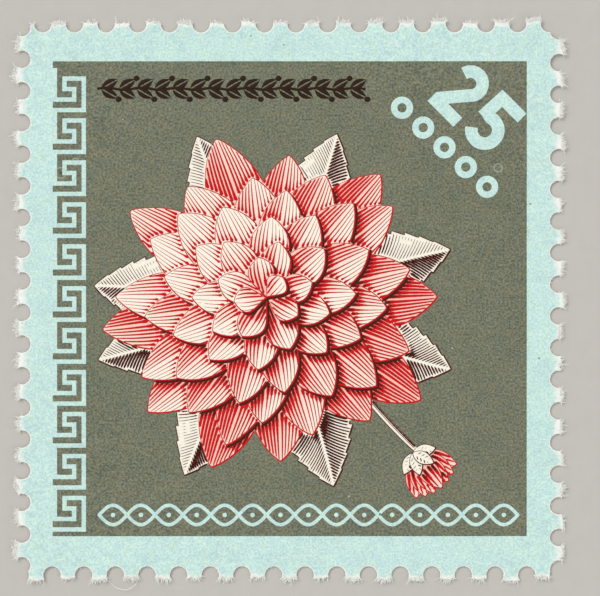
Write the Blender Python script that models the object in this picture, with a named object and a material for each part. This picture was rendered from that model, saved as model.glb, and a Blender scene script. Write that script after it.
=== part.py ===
# A postage stamp: one small sheet of paper, gummed behind and printed in front, lying flat on its gummed face.
# Four rows of round holes were punched across a bigger sheet and the stamp was torn out along them,
# so each edge is a row of half holes with a short torn tooth between each two.
# Metres. The printed face looks along +Z, the top of the design is towards +Y, and the gummed face is at Z = 0.

import math
import random

import bmesh
import bpy
from mathutils import Vector

# Driving dimensions
PAPER_THICKNESS = 0.00010
HOLES_PER_TWO_CENTIMETRES = 11
HOLE_PITCH = 0.020 / HOLES_PER_TWO_CENTIMETRES
HOLE_RADIUS = 0.00050
ROWS_APART_ACROSS = 0.03085     # from the left row of holes to the right one, centre to centre
ROWS_APART_UP = 0.03167         # from the bottom row of holes to the top one

# Each row was struck by itself and so starts at its own distance from the crossing row.
# A side runs anticlockwise from its corner: left goes down, bottom to the right, right up, top to the left.
# outward is the direction in degrees that the side faces, first_hole the distance from the crossing row to
# the first hole met, and tooth_reach how far the torn teeth stand out past the holes' centre line.
SIDES = {
    "left": {"outward": 180, "first_hole": 0.00022, "holes": 18, "tooth_reach": 0.00035},
    "bottom": {"outward": 270, "first_hole": -0.00008, "holes": 18, "tooth_reach": 0.00033},
    "right": {"outward": 0, "first_hole": 0.00034, "holes": 18, "tooth_reach": 0.00026},
    "top": {"outward": 90, "first_hole": 0.00055, "holes": 17, "tooth_reach": 0.00017},
}
REACH_VARIES = 0.00004          # a tooth's reach above or below its side's
LAST_TOOTH_REACH = -0.00002     # the narrow last tooth, at the top left corner, broke off short
SHOULDER_SHARE = 0.65           # how much of its reach a tooth keeps at its two corners
TEAR_DEPTH = 0.00005            # how far the torn end of a tooth is notched
TEAR_SEED = 11

# Fineness of the outline
DEGREES_PER_FACET = 24
TORN_POINTS = 4                 # between the two corners of a tooth

PAPER_COLOUR = (0.58, 0.78, 0.74, 1.0)
PAPER_ROUGHNESS = 0.8


def direction(degrees):
    """The unit vector that points that way in the plane of the paper."""
    angle = math.radians(degrees)
    return Vector((math.cos(angle), math.sin(angle)))


def punched_holes():
    """Every hole that the outline meets, in order anticlockwise, each with the tooth that follows it."""
    jitter = random.Random(TEAR_SEED)
    holes = []
    for side in SIDES.values():
        outward = direction(side["outward"])
        onward = direction(side["outward"] + 90)
        upright = abs(outward.x) > 0.5
        row_distance = (ROWS_APART_ACROSS if upright else ROWS_APART_UP) / 2
        row_start = -(ROWS_APART_UP if upright else ROWS_APART_ACROSS) / 2
        for number in range(side["holes"]):
            along = row_start + side["first_hole"] + number * HOLE_PITCH
            reach = side["tooth_reach"] + jitter.uniform(-REACH_VARIES, REACH_VARIES)
            hole = {
                "centre": outward * row_distance + onward * along,
                "outward": side["outward"],
                "row_distance": row_distance,
                "tooth_reach": reach,
            }
            holes.append(hole)
    holes[-1]["tooth_reach"] = LAST_TOOTH_REACH
    return holes


def overlap_angles(hole, other):
    """The directions from a hole's centre to the two points where it meets an overlapping hole, or None."""
    between = other["centre"] - hole["centre"]
    if between.length >= 2 * HOLE_RADIUS:
        return None
    towards = math.degrees(math.atan2(between.y, between.x))
    spread = math.degrees(math.acos(between.length / 2 / HOLE_RADIUS))
    return towards - spread, towards + spread


def innermost(hole, angles):
    """The one of the angles whose point on the hole is nearest the middle of the stamp."""
    return min(angles, key=lambda a: (hole["centre"] + direction(a) * HOLE_RADIUS).length)


def tear_angle(hole, torn):
    """Half the angle of a hole that lies outside the corners of the tooth that follows the hole named torn."""
    corner_distance = torn["row_distance"] + torn["tooth_reach"] * SHOULDER_SHARE
    depth = corner_distance - hole["centre"].dot(direction(torn["outward"]))
    return math.degrees(math.acos(depth / HOLE_RADIUS))


def bite(previous, hole, following):
    """The points along a hole's rim, clockwise about its centre, from the tooth before to the tooth after."""
    shared_before = overlap_angles(hole, previous)
    if shared_before:
        start = innermost(hole, shared_before)
    else:
        start = previous["outward"] - tear_angle(hole, previous)
    shared_after = overlap_angles(hole, following)
    if shared_after:
        end = innermost(hole, shared_after)
    else:
        end = hole["outward"] + tear_angle(hole, hole)
    sweep = (start - end) % 360
    facets = max(1, round(sweep / DEGREES_PER_FACET))
    angles = [start - sweep * step / facets for step in range(facets + 1)]
    points = [hole["centre"] + direction(a) * HOLE_RADIUS for a in angles]
    # where two holes meet, the point is given once, by the second of them
    return points[:-1] if shared_after else points


def torn_end(start, end, hole, jitter):
    """The ragged, rounded points between the two corners of the tooth that follows a hole."""
    rise = abs(hole["tooth_reach"]) * (1 - SHOULDER_SHARE)
    points = []
    for number in range(TORN_POINTS):
        share = (number + 1) / (TORN_POINTS + 1)
        stand_out = rise * math.sin(math.pi * share) - jitter.uniform(0, TEAR_DEPTH)
        points.append(start.lerp(end, share) + direction(hole["outward"]) * stand_out)
    return points


def stamp_outline():
    """The whole outline, anticlockwise, centred on the middle of its own box."""
    jitter = random.Random(TEAR_SEED + 1)
    holes = punched_holes()
    bites = []
    for number, hole in enumerate(holes):
        following = holes[(number + 1) % len(holes)]
        bites.append(bite(holes[number - 1], hole, following))
    outline = []
    for number, hole in enumerate(holes):
        following = (number + 1) % len(holes)
        outline += bites[number]
        if not overlap_angles(hole, holes[following]):
            outline += torn_end(bites[number][-1], bites[following][0], hole, jitter)
    middle_x = (min(p.x for p in outline) + max(p.x for p in outline)) / 2
    middle_y = (min(p.y for p in outline) + max(p.y for p in outline)) / 2
    return [p - Vector((middle_x, middle_y)) for p in outline]


def paper_material():
    material = bpy.data.materials.new("printed_paper")
    material.use_nodes = True
    shader = material.node_tree.nodes["Principled BSDF"]
    shader.inputs["Base Color"].default_value = PAPER_COLOUR
    shader.inputs["Roughness"].default_value = PAPER_ROUGHNESS
    shader.inputs["Metallic"].default_value = 0.0
    return material


def build_stamp():
    """The sheet: the outline as one face, drawn up by the thickness of the paper."""
    mesh = bpy.data.meshes.new("stamp")
    sheet = bmesh.new()
    corners = [sheet.verts.new((p.x, p.y, 0.0)) for p in stamp_outline()]
    gummed_face = sheet.faces.new(corners)
    raised = bmesh.ops.extrude_face_region(sheet, geom=[gummed_face], use_keep_orig=True)
    lifted = [item for item in raised["geom"] if isinstance(item, bmesh.types.BMVert)]
    bmesh.ops.translate(sheet, verts=lifted, vec=(0.0, 0.0, PAPER_THICKNESS))
    bmesh.ops.recalc_face_normals(sheet, faces=sheet.faces)
    bmesh.ops.triangulate(sheet, faces=sheet.faces)
    sheet.to_mesh(mesh)
    sheet.free()
    stamp = bpy.data.objects.new("stamp", mesh)
    stamp.data.materials.append(paper_material())
    bpy.context.scene.collection.objects.link(stamp)
    return stamp


for old in list(bpy.data.objects):
    bpy.data.objects.remove(old)
build_stamp()
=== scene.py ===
import bpy
import math
import random
import numpy as np
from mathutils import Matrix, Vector
from mathutils.geometry import delaunay_2d_cdt
from mathutils.kdtree import KDTree


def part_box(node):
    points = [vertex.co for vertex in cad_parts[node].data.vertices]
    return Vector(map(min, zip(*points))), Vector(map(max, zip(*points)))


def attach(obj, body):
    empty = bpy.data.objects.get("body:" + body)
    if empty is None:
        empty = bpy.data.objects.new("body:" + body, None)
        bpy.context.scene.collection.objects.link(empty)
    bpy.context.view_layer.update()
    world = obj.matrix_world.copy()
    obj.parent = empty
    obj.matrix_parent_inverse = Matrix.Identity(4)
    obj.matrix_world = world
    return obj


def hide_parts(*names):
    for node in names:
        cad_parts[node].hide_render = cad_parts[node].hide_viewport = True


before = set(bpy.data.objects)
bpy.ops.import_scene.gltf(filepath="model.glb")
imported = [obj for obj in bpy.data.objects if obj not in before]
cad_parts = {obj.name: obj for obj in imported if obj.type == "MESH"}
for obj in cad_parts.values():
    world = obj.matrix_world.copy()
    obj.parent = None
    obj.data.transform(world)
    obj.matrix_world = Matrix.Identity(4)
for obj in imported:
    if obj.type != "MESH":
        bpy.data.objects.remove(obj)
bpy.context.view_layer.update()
# lengths are in millimetres: the print's from the middle of its olive field, the sheet's from its own middle
mm = 0.001
bpy.context.scene.view_settings.view_transform = "Standard"

# camera straight above, a little off centre
viewFrom = {"lens": 120, "sensor": 36, "frameWidth": 34.51, "right": 0.60, "up": 0.16, "nearest": 5}


def addObject(name, data):
    made = bpy.data.objects.new(name, data)
    bpy.context.scene.collection.objects.link(made)
    return made


def addCamera():
    camera = addObject("camera", bpy.data.cameras.new("camera"))
    camera.data.lens = viewFrom["lens"]
    camera.data.sensor_width = viewFrom["sensor"]
    camera.data.clip_start = viewFrom["nearest"] * mm
    height = viewFrom["frameWidth"] * viewFrom["lens"] / viewFrom["sensor"]
    camera.location = (viewFrom["right"] * mm, viewFrom["up"] * mm, height * mm)
    bpy.context.scene.camera = camera


addCamera()

# the perforated outline: the same rows of holes and torn teeth as the solid, cut finer
perforation = {
    "pitch": 20 / 11, "holeRadius": 0.50, "rowsAcross": 30.85, "rowsUp": 31.67, "degreesPerFacet": 9,
    "reachVaries": 0.04, "lastToothReach": -0.02, "shoulderShare": 0.65, "cornerVaries": 0.10,
    "tearSeed": 11, "tornPoints": 4, "tearDepth": 0.07,  # the coarse tear along a tooth's end
    "fineTear": 5, "fineTearDepth": 0.070, "jags": (-1, 0.6), "bow": (-0.07, 0.03),  # the fine one on it
    "notchEvery": 0.4, "notchAt": (0.25, 0.75), "notchSizes": (0.3, 1), "notchDepth": 0.15,
    "notchWidth": 0.10,
}
sides = [
    {"outward": 180, "firstHole": 0.22, "holes": 18, "reach": 0.35},
    {"outward": 270, "firstHole": -0.08, "holes": 18, "reach": 0.33},
    {"outward": 0, "firstHole": 0.34, "holes": 18, "reach": 0.26},
    {"outward": 90, "firstHole": 0.55, "holes": 17, "reach": 0.17},
]


def direction(degrees):
    return Vector((math.cos(math.radians(degrees)), math.sin(math.radians(degrees))))


def punchedHoles(shorten):
    draw = random.Random(perforation["tearSeed"])
    varies = perforation["reachVaries"]
    holes = []
    for side in sides:
        outward = direction(side["outward"])
        onward = direction(side["outward"] + 90)
        upright = abs(outward.x) > 0.5
        rowDistance = perforation["rowsAcross" if upright else "rowsUp"] / 2
        rowStart = -perforation["rowsUp" if upright else "rowsAcross"] / 2
        for number in range(side["holes"]):
            along = rowStart + side["firstHole"] + number * perforation["pitch"]
            reach = side["reach"] - shorten + draw.uniform(-varies, varies)
            holes.append({"centre": outward * rowDistance + onward * along, "outward": side["outward"],
                          "rowDistance": rowDistance, "reach": reach})
    holes[-1]["reach"] = perforation["lastToothReach"] - shorten
    return holes


def overlapAngles(hole, other, radius):
    between = other["centre"] - hole["centre"]
    if between.length >= 2 * radius:
        return None
    towards = math.degrees(math.atan2(between.y, between.x))
    aside = math.degrees(math.acos(between.length / 2 / radius))
    return towards - aside, towards + aside


def innermost(hole, angles, radius):
    return min(angles, key=lambda a: (hole["centre"] + direction(a) * radius).length)


def tearAngle(hole, torn, corner, radius):
    cornerDistance = torn["rowDistance"] + torn["reach"] * perforation["shoulderShare"] + torn[corner]
    depth = cornerDistance - hole["centre"].dot(direction(torn["outward"]))
    return math.degrees(math.acos(depth / radius))


def bite(previous, hole, following, radius):  # along a hole's rim, clockwise about its centre
    sharedBefore = overlapAngles(hole, previous, radius)
    sharedAfter = overlapAngles(hole, following, radius)
    if sharedBefore:
        start = innermost(hole, sharedBefore, radius)
    else:
        start = previous["outward"] - tearAngle(hole, previous, "lastCorner", radius)
    if sharedAfter:
        end = innermost(hole, sharedAfter, radius)
    else:
        end = hole["outward"] + tearAngle(hole, hole, "firstCorner", radius)
    sweep = (start - end) % 360
    facets = max(1, round(sweep / perforation["degreesPerFacet"]))
    turns = [start - sweep * number / facets for number in range(facets + 1)]
    points = [hole["centre"] + direction(turn) * radius for turn in turns]
    return points[:-1] if sharedAfter else points


def tornEnd(start, end, hole, coarse, fine):  # the ragged points between a tooth's two corners
    outward = direction(hole["outward"])
    rise = abs(hole["reach"]) * (1 - perforation["shoulderShare"])
    tears, steps = perforation["tornPoints"] + 1, perforation["fineTear"]
    knots = [start]
    for number in range(1, tears):
        share = number / tears
        standOut = rise * math.sin(math.pi * share) - coarse.uniform(0, perforation["tearDepth"])
        knots.append(start.lerp(end, share) + outward * standOut)
    knots.append(end)
    bow = fine.uniform(*perforation["bow"])
    notchAt = fine.uniform(*perforation["notchAt"])
    notch = fine.uniform(*perforation["notchSizes"]) * perforation["notchDepth"]
    if fine.random() > perforation["notchEvery"]:
        notch = 0.0
    full = min(1.0, (end - start).length / (2 * perforation["holeRadius"])) ** 2
    points = []
    for number, (before, after) in enumerate(zip(knots[:-1], knots[1:])):
        points.append(before)
        for part in range(1, steps):
            share = (number * steps + part) / (tears * steps)
            swell = math.sin(math.pi * share)
            jag = fine.uniform(*perforation["jags"]) * perforation["fineTearDepth"] * swell ** 0.5
            jag += bow * swell
            jag -= notch * math.exp(-((share - notchAt) / perforation["notchWidth"]) ** 2)
            points.append(before.lerp(after, part / steps) + outward * jag * full)
    return points[1:]


def sheetOutline(widen=0.0, shorten=0.0):  # the points, whether each is torn, and the teeth
    radius = perforation["holeRadius"] + widen
    coarse, fine, corners = (random.Random(perforation["tearSeed"] + number) for number in (1, 2, 3))
    holes = punchedHoles(shorten)
    for hole in holes:  # a tooth's two corners stand a little apart
        for corner in ("firstCorner", "lastCorner"):
            hole[corner] = corners.uniform(-1, 1) * perforation["cornerVaries"]
    count = len(holes)
    bites = [bite(holes[i - 1], holes[i], holes[(i + 1) % count], radius) for i in range(count)]
    points, torn, teeth = [], [], []
    for i, hole in enumerate(holes):
        following = (i + 1) % count
        points += bites[i]
        torn += [False] * len(bites[i])
        if not overlapAngles(hole, holes[following], radius):
            start, end = bites[i][-1], bites[following][0]
            ragged = tornEnd(start, end, hole, coarse, fine)
            points += ragged
            torn += [True] * len(ragged)
            teeth.append({"start": start, "end": end, "outward": hole["outward"],
                          "rowDistance": hole["rowDistance"]})
    return np.array([tuple(p) for p in points]), np.array(torn), teeth


outline, outlineTorn, teeth = sheetOutline()
low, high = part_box("stamp")
printShift = (-0.035, 0.039)  # the print stands a little off the middle of the rows of holes
rowsMiddle = (outline.min(0) + outline.max(0)) / 2  # the sheet's middle, seen from the middle of the rows
fieldMiddle = np.array(printShift) - rowsMiddle  # the middle of the print, seen from the sheet's middle
outline = outline - rowsMiddle
print("outline:", len(outline), "points,", len(teeth), "teeth, on a solid from", low, "to", high)

# flat ornaments: thick lines laid along paths of lines and arcs
fieldSize = {"halfWidth": 13.614, "halfHeight": 13.637}
lineForm = {"degreesPerStep": 12, "leastFacing": 0.35, "capTurn": 75, "capPoints": 6}


def unitRows(rows):
    return rows / np.maximum(np.linalg.norm(rows, axis=1), 1e-9)[:, None]


def leftOf(run):
    return np.stack([-run[:, 1], run[:, 0]], 1)


def arc(middle, radius, start, end, degreesPerStep=lineForm["degreesPerStep"]):
    steps = max(2, round(abs(end - start) / degreesPerStep))
    angles = np.radians(np.linspace(start, end, steps + 1))
    return [(middle[0] + radius * math.cos(a), middle[1] + radius * math.sin(a)) for a in angles]


def thickPath(path, width, roundEnds=False):  # the outline of a line of that width, corners mitred
    path = np.array(path, float)
    run = unitRows(np.diff(path, axis=0))
    side = leftOf(run)
    joined = unitRows(np.vstack([side[:1], side[:-1] + side[1:], side[-1:]]))
    facing = np.append(np.sum(joined[:-1] * side, axis=1), 1.0)
    offset = joined * (width / 2 / np.maximum(facing, lineForm["leastFacing"]))[:, None]
    left, right = path + offset, path - offset
    if not roundEnds:
        return np.vstack([right, left[::-1]])
    turns = np.radians(np.linspace(-lineForm["capTurn"], lineForm["capTurn"], lineForm["capPoints"]))
    caps = []
    for middle, ahead in ((path[-1], run[-1]), (path[0], -run[0])):
        beside = np.array([-ahead[1], ahead[0]])
        caps.append(middle + width / 2 * (np.outer(np.cos(turns), ahead) + np.outer(np.sin(turns), beside)))
    return np.vstack([right, caps[0], left[::-1], caps[1]])


def disc(middle, radius, steps=26):
    return np.array(arc(middle, radius, 0, 360 - 360 / steps, 360 / steps))


leftBand = {"turns": 11, "top": 13.25, "bottom": -13.25, "rise": 1.66, "stroke": 0.25}
keyPath = [(0, 0), (3, 0), (3, 2), (2, 2), (2, 1), (1, 1), (1, 3), (4, 3)]  # one turn: places along and out


def leftMeander():  # a running key that stands on the left border
    path, unit = [], (leftBand["top"] - leftBand["bottom"]) / (4 * leftBand["turns"])
    for turn in range(leftBand["turns"]):
        for along, out in keyPath:
            place = -fieldSize["halfWidth"] + leftBand["stroke"] / 2 + out * leftBand["rise"] / 3
            path.append((place, leftBand["top"] - (along + 4 * turn) * unit))
    path.append((-fieldSize["halfWidth"] - leftBand["stroke"] / 4, path[-1][1]))
    return [thickPath(path, leftBand["stroke"])]


footBand = {"left": -10.95, "right": 13.10, "height": -12.42, "swing": 0.56, "waves": 15, "pointsPerWave": 14,
            "stroke": 0.195, "bead": 0.13, "beadSteps": 16}


def footPlait():  # two waves that cross, with a bead in each eye
    waves, height, span = footBand["waves"], footBand["height"], footBand["right"] - footBand["left"]
    turns = np.linspace(0, waves * math.pi, waves * footBand["pointsPerWave"] + 1)
    across = footBand["left"] + span * turns / turns[-1]
    shapes = []
    for sign in (1, -1):
        path = np.stack([across, height + sign * footBand["swing"] * np.sin(turns)], 1)
        shapes.append(thickPath(path, footBand["stroke"], roundEnds=True))
    for number in range(waves):
        middle = (footBand["left"] + span * (number + 0.5) / waves, height)
        shapes.append(disc(middle, footBand["bead"], footBand["beadSteps"]))
    return shapes


cornerMark = {
    "middle": (10.78, 10.98), "tilt": -45, "height": 3.50, "stroke": 0.72, "gap": 0.40, "glyphWidth": 0.60,
    "bowl": 0.325, "rings": 5, "ringsFrom": (6.45, 10.97), "ringsTo": (11.34, 6.43),
    "ringRadius": 0.64, "ringHole": 0.27, "holeSteps": 16,
}
markTilt = math.radians(cornerMark["tilt"])
alongMark = np.array([math.cos(markTilt), math.sin(markTilt)])
upMark = np.array([-alongMark[1], alongMark[0]])


def cornerFigures():  # plain figures, tilted, with their heads to the corner, each drawn in a few strokes
    wide, tall, bowl = cornerMark["glyphWidth"], cornerMark["height"], cornerMark["bowl"]
    edge = cornerMark["stroke"] / tall / 2
    hook = arc((wide / 2, 1 - wide / 2), wide / 2 - edge, 168, -32)
    two = [hook + [(edge * 0.77, edge * 1.35)], [(0, edge), (wide, edge)]]
    five = [[(edge * 1.1, 0.56)] + arc((wide / 2 - 0.01, bowl), bowl - edge, 108, -148),
            [(edge * 1.0, 0.46), (edge * 1.25, 1 - edge * 0.2)],
            [(edge * 0.30, 1 - edge), (wide * 0.97, 1 - edge)]]
    shapes, middle = [], np.array(cornerMark["middle"])
    pitch = wide * tall + cornerMark["gap"]
    for number, figure in enumerate((two, five)):
        left = -pitch + cornerMark["gap"] / 2 + number * pitch
        for stroke in figure:
            placed = [middle + (left + a * tall) * alongMark + (h - 0.5) * tall * upMark for a, h in stroke]
            shapes.append(thickPath(placed, cornerMark["stroke"]))
    return shapes


def cornerRings():  # rings and the holes in them
    start, end = np.array(cornerMark["ringsFrom"]), np.array(cornerMark["ringsTo"])
    places = [start + t * (end - start) for t in np.linspace(0, 1, cornerMark["rings"])]
    return ([disc(p, cornerMark["ringRadius"]) for p in places],
            [disc(p, cornerMark["ringHole"], cornerMark["holeSteps"]) for p in places])


# blades: anything that widens and narrows along a bent midline, such as a petal or a leaf
def makeBlade(base, heading, length, width, bend=0.0, fullness=1.0, tipEase=1.0,
              notches=0, notchDepth=0.0, tone=0.0):
    along = np.array([math.cos(heading), math.sin(heading)])
    return {"base": np.array(base, float), "along": along, "across": np.array([-along[1], along[0]]),
            "length": length, "width": width, "bend": bend, "fullness": fullness, "tipEase": tipEase,
            "notches": notches, "notchDepth": notchDepth, "tone": tone}


def halfWidth(blade, s):
    s = np.clip(s, 0, 1)
    half = blade["width"] / 2 * np.sin(np.pi * s ** blade["fullness"]) ** blade["tipEase"]
    return half * (1 - blade["notchDepth"] * (s * blade["notches"] % 1))


def bladePoints(blade, s, c):  # s runs from base to tip, c is the distance to the left of the midline
    ahead, away = s * blade["length"], c + blade["bend"] * blade["length"] * s ** 2
    return blade["base"] + ahead[..., None] * blade["along"] + away[..., None] * blade["across"]


def bladePlace(blade, points):
    fromBase = points - blade["base"]
    s = fromBase @ blade["along"] / blade["length"]
    return s, fromBase @ blade["across"] - blade["bend"] * blade["length"] * np.clip(s, 0, None) ** 2


def insideBlade(blade, points, grow=0.0):
    s, c = bladePlace(blade, points)
    return (s > 0) & (s < 1) & (np.abs(c) < halfWidth(blade, s) + grow)


def bladeRim(blade, steps):
    s = np.linspace(0, 1, steps) if blade["notches"] else (1 - np.cos(np.linspace(0, np.pi, steps))) / 2
    half = halfWidth(blade, s)
    return np.vstack([bladePoints(blade, s, -half), bladePoints(blade, s[::-1][1:-1], half[::-1][1:-1])])


def coveredBy(points, blades, grow=0.0):
    hit = np.zeros(len(points), bool)
    if not len(points):
        return hit
    middle = points.mean(0)
    around = np.linalg.norm(points - middle, axis=1).max()
    for blade in blades:
        apart = middle - blade["base"] - blade["along"] * blade["length"] / 2
        if np.linalg.norm(apart) < around + blade["length"]:
            hit |= insideBlade(blade, points, grow)
    return hit


# the picture: a dahlia with leaves and a bud, drawn as an engraver would, in lines that swell and thin
bloom = {
    "middle": (-1.0, -0.35), "radius": 10.1, "squash": 0.97, "petals": 62, "innermost": 3,
    "crowding": 0.62, "goldenAngle": 137.508, "lean": (-0.35, 0.45),
    "widthFor1mm": 0.50, "widthPower": 0.74, "leastWidth": 0.60,
    "fullness": 1.5, "tipEase": 0.80, "outerTone": 0.44, "paleHeart": 0.315, "rimSteps": 60, "seed": 5,
    "reaches": (0.96, 1.04), "turns": (-0.05, 0.05), "widths": (0.93, 1.07), "bends": (-0.06, 0.06),
    "tones": (-0.15, 0.12),
}
engraving = {
    "pitch": 0.222, "step": 0.085, "firstLine": 0.7, "startAt": 0.02, "spacing": (0.55, 0.45), "margin": 0.03,
    "clearance": 0.02, "towardLight": (-0.72, 0.69), "most": 0.86, "least": -0.15, "finest": 0.17,
    "dotsBelow": 0.06, "dotEvery": 4,
    "baseTone": 0.92, "tipFade": 0.62, "fold": 0.24, "foldSharpness": 3.0, "form": 0.15,
    "shadow": 0.55, "shadowReach": 1.10, "shadowSteps": 8, "shadowFades": (1.5, 0.5),
    "crease": 0.30, "creaseReach": 0.25, "creaseParts": (0.5, 1.0, 1.5, 2.0, 2.5),
    "depthOfCast": 0.95, "depthOfCrease": 0.50, "depthToTip": 0.10,  # how deep in shadow a place counts as
    "solidFrom": 0.20, "solidOver": 0.15, "solidTone": 0.3, "solid": 1.10,
    "brownFrom": 0.28, "brownFull": 0.80, "brownSwell": 0.6, "brownWidths": (0.2, 0.85), "brownLeast": 5,
    "contour": 0.082, "contourSwing": 0.040, "contourLeast": 3,
}
sideShadow = {"width": 0.225, "power": 0.8, "gap": 0.02, "middleAt": 0.42, "edgeAt": 0.80,
              "crowdedWidth": 0.6, "finest": 0.05, "least": 4}
leafLines = {
    "pitch": 0.20, "tone": 0.35, "least": 0.0, "finest": 0.17, "dotsBelow": 0.16, "fold": 0.26, "rib": 0.17,
    "ribGap": 0.07, "shadow": 0.5, "slant": 1.1, "curve": 0.3, "clearance": 0.03, "margin": 0.05,
    "ends": (0.01, 0.99), "behindBase": 2,
}
bloomMiddle = np.array(bloom["middle"])
toLight = np.array(engraving["towardLight"]) / np.linalg.norm(engraving["towardLight"])
strokes = {"red": [], "brown": [], "title": []}  # each stroke: its points, its width at each


def bloomPetals():  # the outermost first, each turned by the golden angle from the one before
    draw, petals = random.Random(bloom["seed"]), []
    for number in range(bloom["petals"], bloom["innermost"] - 1, -1):
        share = number / bloom["petals"]
        reach = bloom["radius"] * share ** bloom["crowding"] * draw.uniform(*bloom["reaches"])
        turn = number * math.radians(bloom["goldenAngle"]) + draw.uniform(*bloom["turns"])
        heading = np.array([math.cos(turn), math.sin(turn) * bloom["squash"]])
        base = bloomMiddle + np.array(bloom["lean"]) * (1 - share)
        width = bloom["widthFor1mm"] * reach ** bloom["widthPower"] + bloom["leastWidth"]
        width *= draw.uniform(*bloom["widths"])
        bend = draw.uniform(*bloom["bends"])
        tone = draw.uniform(*bloom["tones"]) + bloom["outerTone"] * (share ** 2 - bloom["paleHeart"])
        length = reach * np.linalg.norm(heading)
        petals.append(makeBlade(base, math.atan2(heading[1], heading[0]), length, width, bend,
                                bloom["fullness"], bloom["tipEase"], tone=tone))
    return petals


def runs(keep):
    edges = np.flatnonzero(np.diff(np.concatenate([[0], keep.astype(int), [0]])))
    return zip(edges[::2], edges[1::2])


def layStrokes(ink, points, width, keep, least=2):
    for start, end in runs(keep):
        if end - start >= least:
            strokes[ink].append((points[start:end], width[start:end]))


def castShade(points, above):  # how deep a point lies in the shadow of what is drawn over it, fading outward
    steps = engraving["shadowSteps"]
    reaches = np.arange(1, steps + 1) * engraving["shadowReach"] / steps
    weights = np.linspace(*engraving["shadowFades"], steps) / steps
    return sum(weight * coveredBy(points + toLight * reach, above) for reach, weight in zip(reaches, weights))


def creaseShade(points, above):
    inward = unitRows(bloomMiddle - points)
    parts, reach = engraving["creaseParts"], engraving["creaseReach"]
    return sum(1 / len(parts) * coveredBy(points + inward * reach * part, above) for part in parts)


def denseEdge(blade, steps):  # the rim in short steps, and which way is outward along it
    rim = bladeRim(blade, steps)
    rim = np.vstack([rim, rim[:1]])
    dense = []
    for start, end in zip(rim[:-1], rim[1:]):
        parts = max(1, int(np.linalg.norm(end - start) / engraving["step"]))
        dense += [start + (end - start) * part / parts for part in range(parts)]
    dense = np.array(dense)
    return dense, -leftOf(unitRows(np.gradient(dense, axis=0)))


def contourOf(blade, above, ink, scale=1.0, steps=bloom["rimSteps"]):
    dense, outward = denseEdge(blade, steps)
    width = scale * (engraving["contour"] - engraving["contourSwing"] * (outward @ toLight))
    layStrokes(ink, dense, width, ~coveredBy(dense, above), engraving["contourLeast"])


def shadowBeside(blade, below, above, scale=1.0):  # solid brown along the dark side, on what lies underneath
    dense, outward = denseEdge(blade, bloom["rimSteps"])
    width = scale * sideShadow["width"] * np.clip(-(outward @ toLight), 0, 1) ** sideShadow["power"]
    middle = dense + outward * (sideShadow["middleAt"] * width + sideShadow["gap"])[:, None]
    edge = dense + outward * (sideShadow["edgeAt"] * width + sideShadow["gap"])[:, None]
    width = np.where(coveredBy(edge, above), sideShadow["crowdedWidth"] * width, width)
    keep = (width > sideShadow["finest"]) & coveredBy(edge, below) & ~coveredBy(middle, above)
    layStrokes("brown", middle, width, keep, sideShadow["least"])


def petalTone(petal, points, s, c):  # how dark a petal is by itself: dark throat, pale tip, folded on its rib
    form = -(points - bloomMiddle) @ toLight / bloom["radius"]
    folded = np.tanh(engraving["foldSharpness"] * c / (petal["width"] / 2)) * (petal["across"] @ toLight)
    return (engraving["baseTone"] - engraving["tipFade"] * s + engraving["fold"] * folded
            + engraving["form"] * form + petal["tone"])


def petalLines(petal, above):  # lengthwise lines that merge to solid red in shadow, brown over the deepest
    half = petal["width"] / 2
    sideRows = np.arange(int(half / engraving["pitch"])) + engraving["firstLine"]
    numbers = np.concatenate([-sideRows, sideRows])
    s = np.arange(engraving["startAt"], 1.0, engraving["step"] / petal["length"])
    even, widening = engraving["spacing"]
    spacing = engraving["pitch"] * (even + widening * halfWidth(petal, s) / half)
    c = numbers[:, None] * spacing
    points = bladePoints(petal, np.broadcast_to(s, c.shape), c).reshape(-1, 2)
    seen = ~coveredBy(points, above, engraving["clearance"]).reshape(c.shape)
    seen &= np.abs(c) < halfWidth(petal, s) - engraving["margin"]
    cast = castShade(points, above).reshape(c.shape)
    crease = creaseShade(points, above).reshape(c.shape)
    points = points.reshape(*c.shape, 2)
    tone = petalTone(petal, points, s, c) + engraving["shadow"] * cast + engraving["crease"] * crease
    depth = engraving["depthOfCast"] * cast + engraving["depthOfCrease"] * crease
    depth = depth - engraving["depthToTip"] * s
    merged = np.clip((depth - engraving["solidFrom"]) / engraving["solidOver"], 0, 1)
    most = engraving["most"] + (engraving["solid"] - engraving["most"]) * merged
    tone = np.minimum(tone + engraving["solidTone"] * merged, most)
    dotEvery = engraving["dotEvery"]
    dotted = (tone < engraving["dotsBelow"]) & (np.arange(len(s)) % dotEvery == dotEvery - 1)
    drawn = seen & (tone > engraving["least"]) & ~dotted
    tone = np.maximum(tone, engraving["finest"])
    swell = (depth - engraving["brownFrom"]) / (engraving["brownFull"] - engraving["brownFrom"])
    thin, thick = engraving["brownWidths"]
    for row in range(len(numbers)):
        layStrokes("red", points[row], spacing * tone[row], drawn[row])
        brown = spacing * np.clip(thin + engraving["brownSwell"] * swell[row], thin, thick)
        layStrokes("brown", points[row], brown, seen[row] & (swell[row] > 0), engraving["brownLeast"])


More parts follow.
